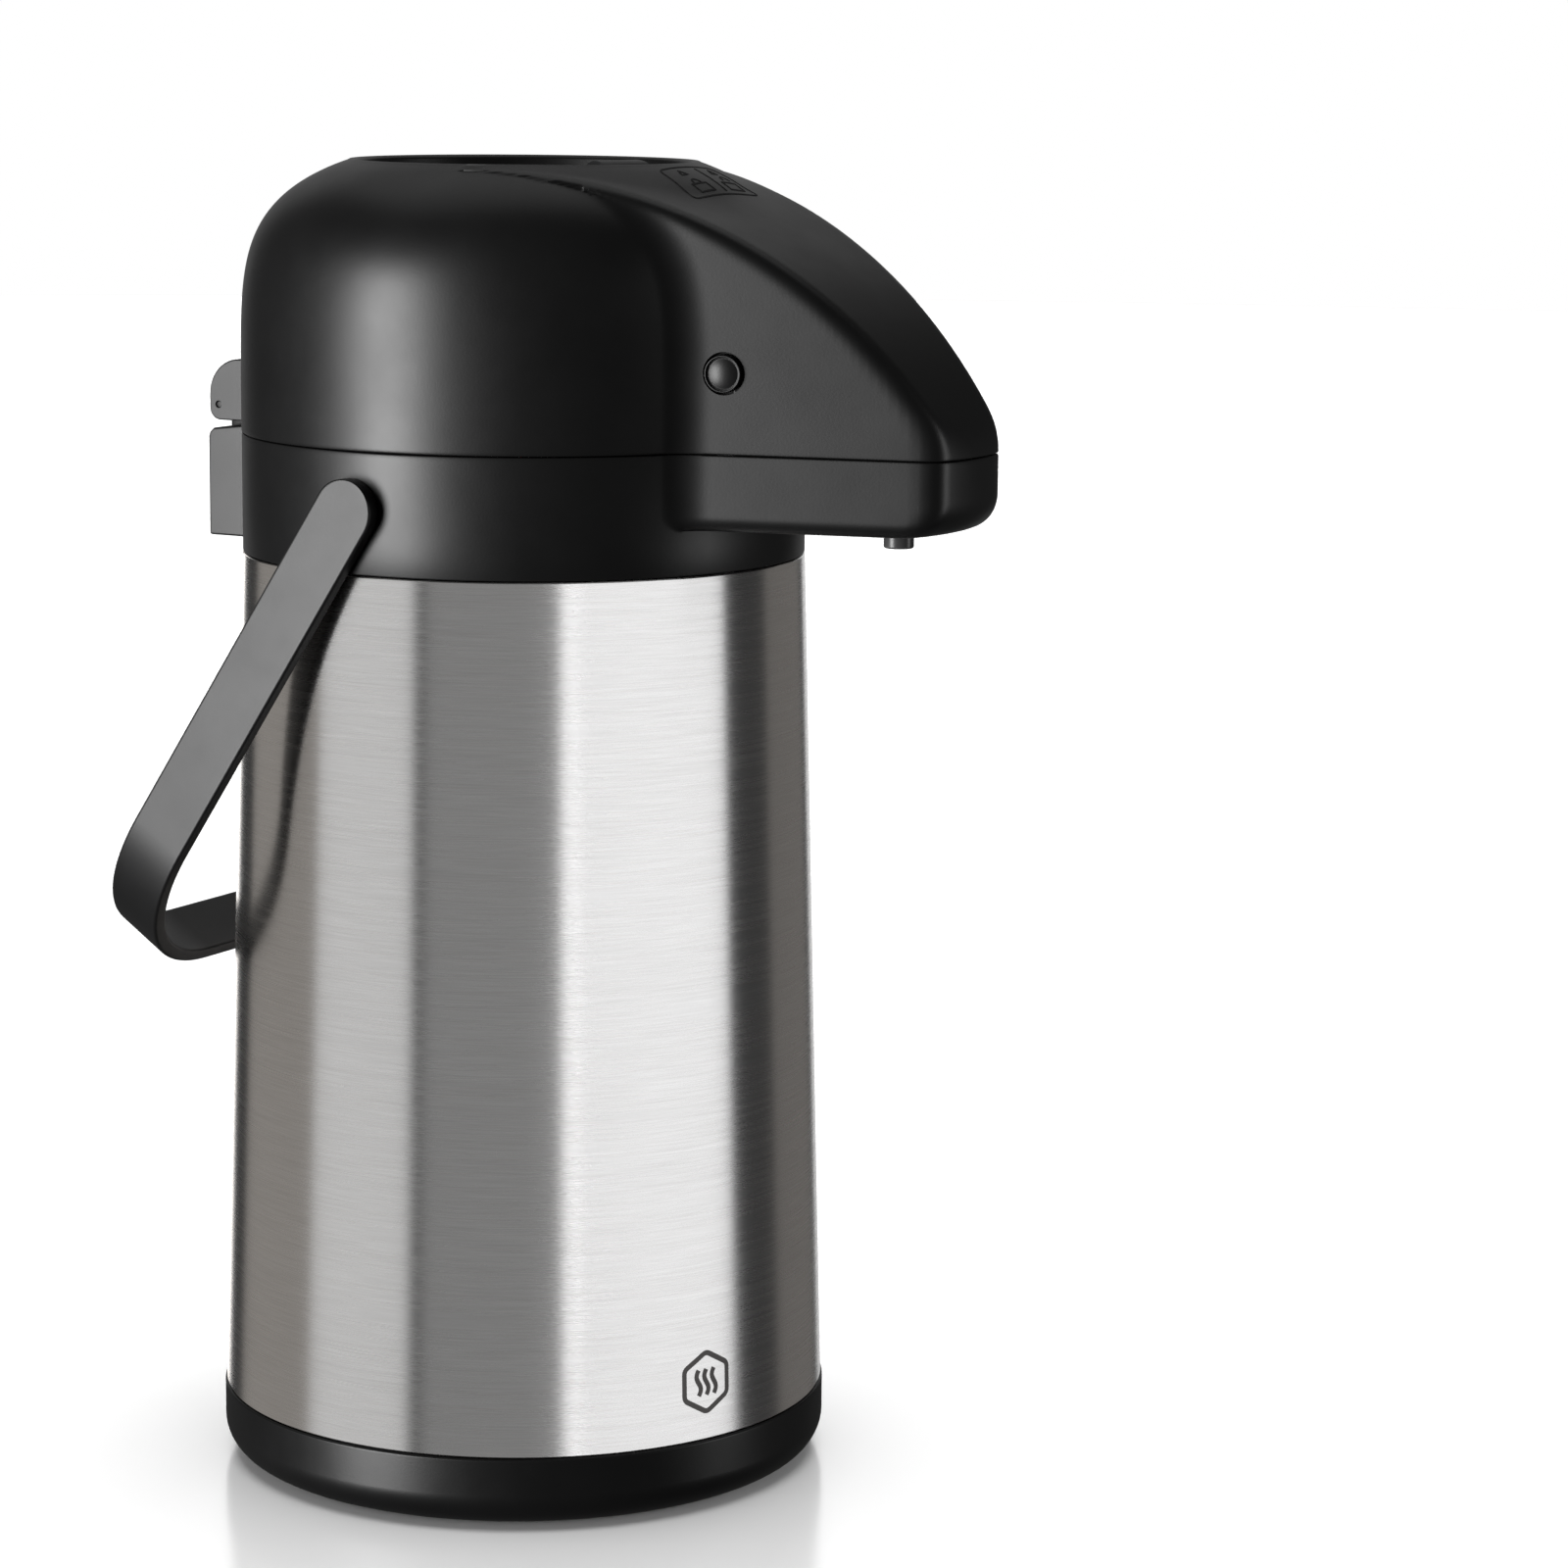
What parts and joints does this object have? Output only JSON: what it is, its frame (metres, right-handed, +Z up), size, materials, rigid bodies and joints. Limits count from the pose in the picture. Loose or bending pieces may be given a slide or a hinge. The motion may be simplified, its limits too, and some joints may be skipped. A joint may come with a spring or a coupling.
{
  "type": "thermal coffee airpot",
  "caption": "Insulated pump airpot with a brushed steel shell, a hinged black lid whose press plate pumps coffee out of a spout beak, and a swinging bail handle.",
  "frame": {"origin": "centre of the foot pad's underside, on the vessel's axis", "axes": "+Z up along the vessel's axis, +X from the axis to the spout, so the lid's hinge is at -X and the handle's pivots are at -Y and +Y"},
  "size_m": [0.239, 0.17, 0.364],
  "materials": {
    "black_plastic": "satin moulded, very fine texture",
    "inner_plastic": "moulded",
    "nozzle_plastic": "smooth",
    "brushed_steel": "brushed round the body",
    "plain_steel": "drawn",
    "fastener_steel": "bright",
    "rubber": "matte",
    "silicone": "translucent matte"
  },
  "bodies": {
    "vessel": {"base_cup": "black_plastic", "foot_pad": "rubber", "bottom_plate": "plain_steel", "base_screw_1": "fastener_steel", "base_screw_2": "fastener_steel", "base_screw_3": "fastener_steel", "outer_shell": "brushed_steel", "vacuum_jacket": "plain_steel", "inner_flask": "plain_steel", "flask_pad": "rubber", "collar": "black_plastic", "shoulder_plate": "inner_plastic", "hinge_bracket": "black_plastic", "hinge_pin": "fastener_steel", "hinge_screw_near": "fastener_steel", "hinge_screw_far": "fastener_steel", "handle_bush_near": "inner_plastic", "handle_bush_far": "inner_plastic", "neck_seal": "silicone", "siphon_head": "inner_plastic", "dip_tube": "plain_steel", "spout_pipe": "inner_plastic", "nozzle": "nozzle_plastic"},
    "lid": {"lid_shell": "black_plastic", "lid_base": "inner_plastic", "lid_gasket": "silicone", "lid_screw_1": "fastener_steel", "lid_screw_2": "fastener_steel", "lid_screw_3": "fastener_steel", "lid_screw_4": "fastener_steel", "bellows": "rubber", "return_spring": "fastener_steel", "button_spring": "fastener_steel"},
    "pump": {"press_plate": "black_plastic", "bellows_cap": "inner_plastic", "intake_flap": "rubber"},
    "lock": {"lock_tab": "black_plastic"},
    "button_near": {"release_button_near": "black_plastic"},
    "button_far": {"release_button_far": "black_plastic"},
    "handle": {"handle_band": "black_plastic", "handle_stud_near": "fastener_steel", "handle_stud_far": "fastener_steel"}
  },
  "joints": [
    {"name": "lid_hinge", "type": "hinge", "parent": "vessel", "child": "lid", "pos_m": [-0.092, 0, 0.2929], "axis": [0, -1, 0], "range_deg": [0, 95]},
    {"name": "pump_slide", "type": "slide", "parent": "lid", "child": "pump", "axis": [0, 0, -1], "range_m": [0, 0.025], "stiffness_N_per_m": 350, "springref_m": -0.012, "deforming": ["bellows", "return_spring"]},
    {"name": "lock_turn", "type": "hinge", "parent": "pump", "child": "lock", "pos_m": [0, 0, 0.3606], "axis": [0, 0, 1], "range_deg": [0, 28]},
    {"name": "button_near_slide", "type": "slide", "parent": "lid", "child": "button_near", "axis": [-0.2317, 0.9728, 0], "range_m": [0, 0.002], "stiffness_N_per_m": 600, "springref_m": -0.002},
    {"name": "button_far_slide", "type": "slide", "parent": "lid", "child": "button_far", "axis": [-0.2317, -0.9728, 0], "range_m": [0, 0.002], "stiffness_N_per_m": 600, "springref_m": -0.002},
    {"name": "handle_swing", "type": "hinge", "parent": "vessel", "child": "handle", "pos_m": [-0.005, 0, 0.2731], "axis": [0, 1, 0], "range_deg": [0, 288]}
  ]
}
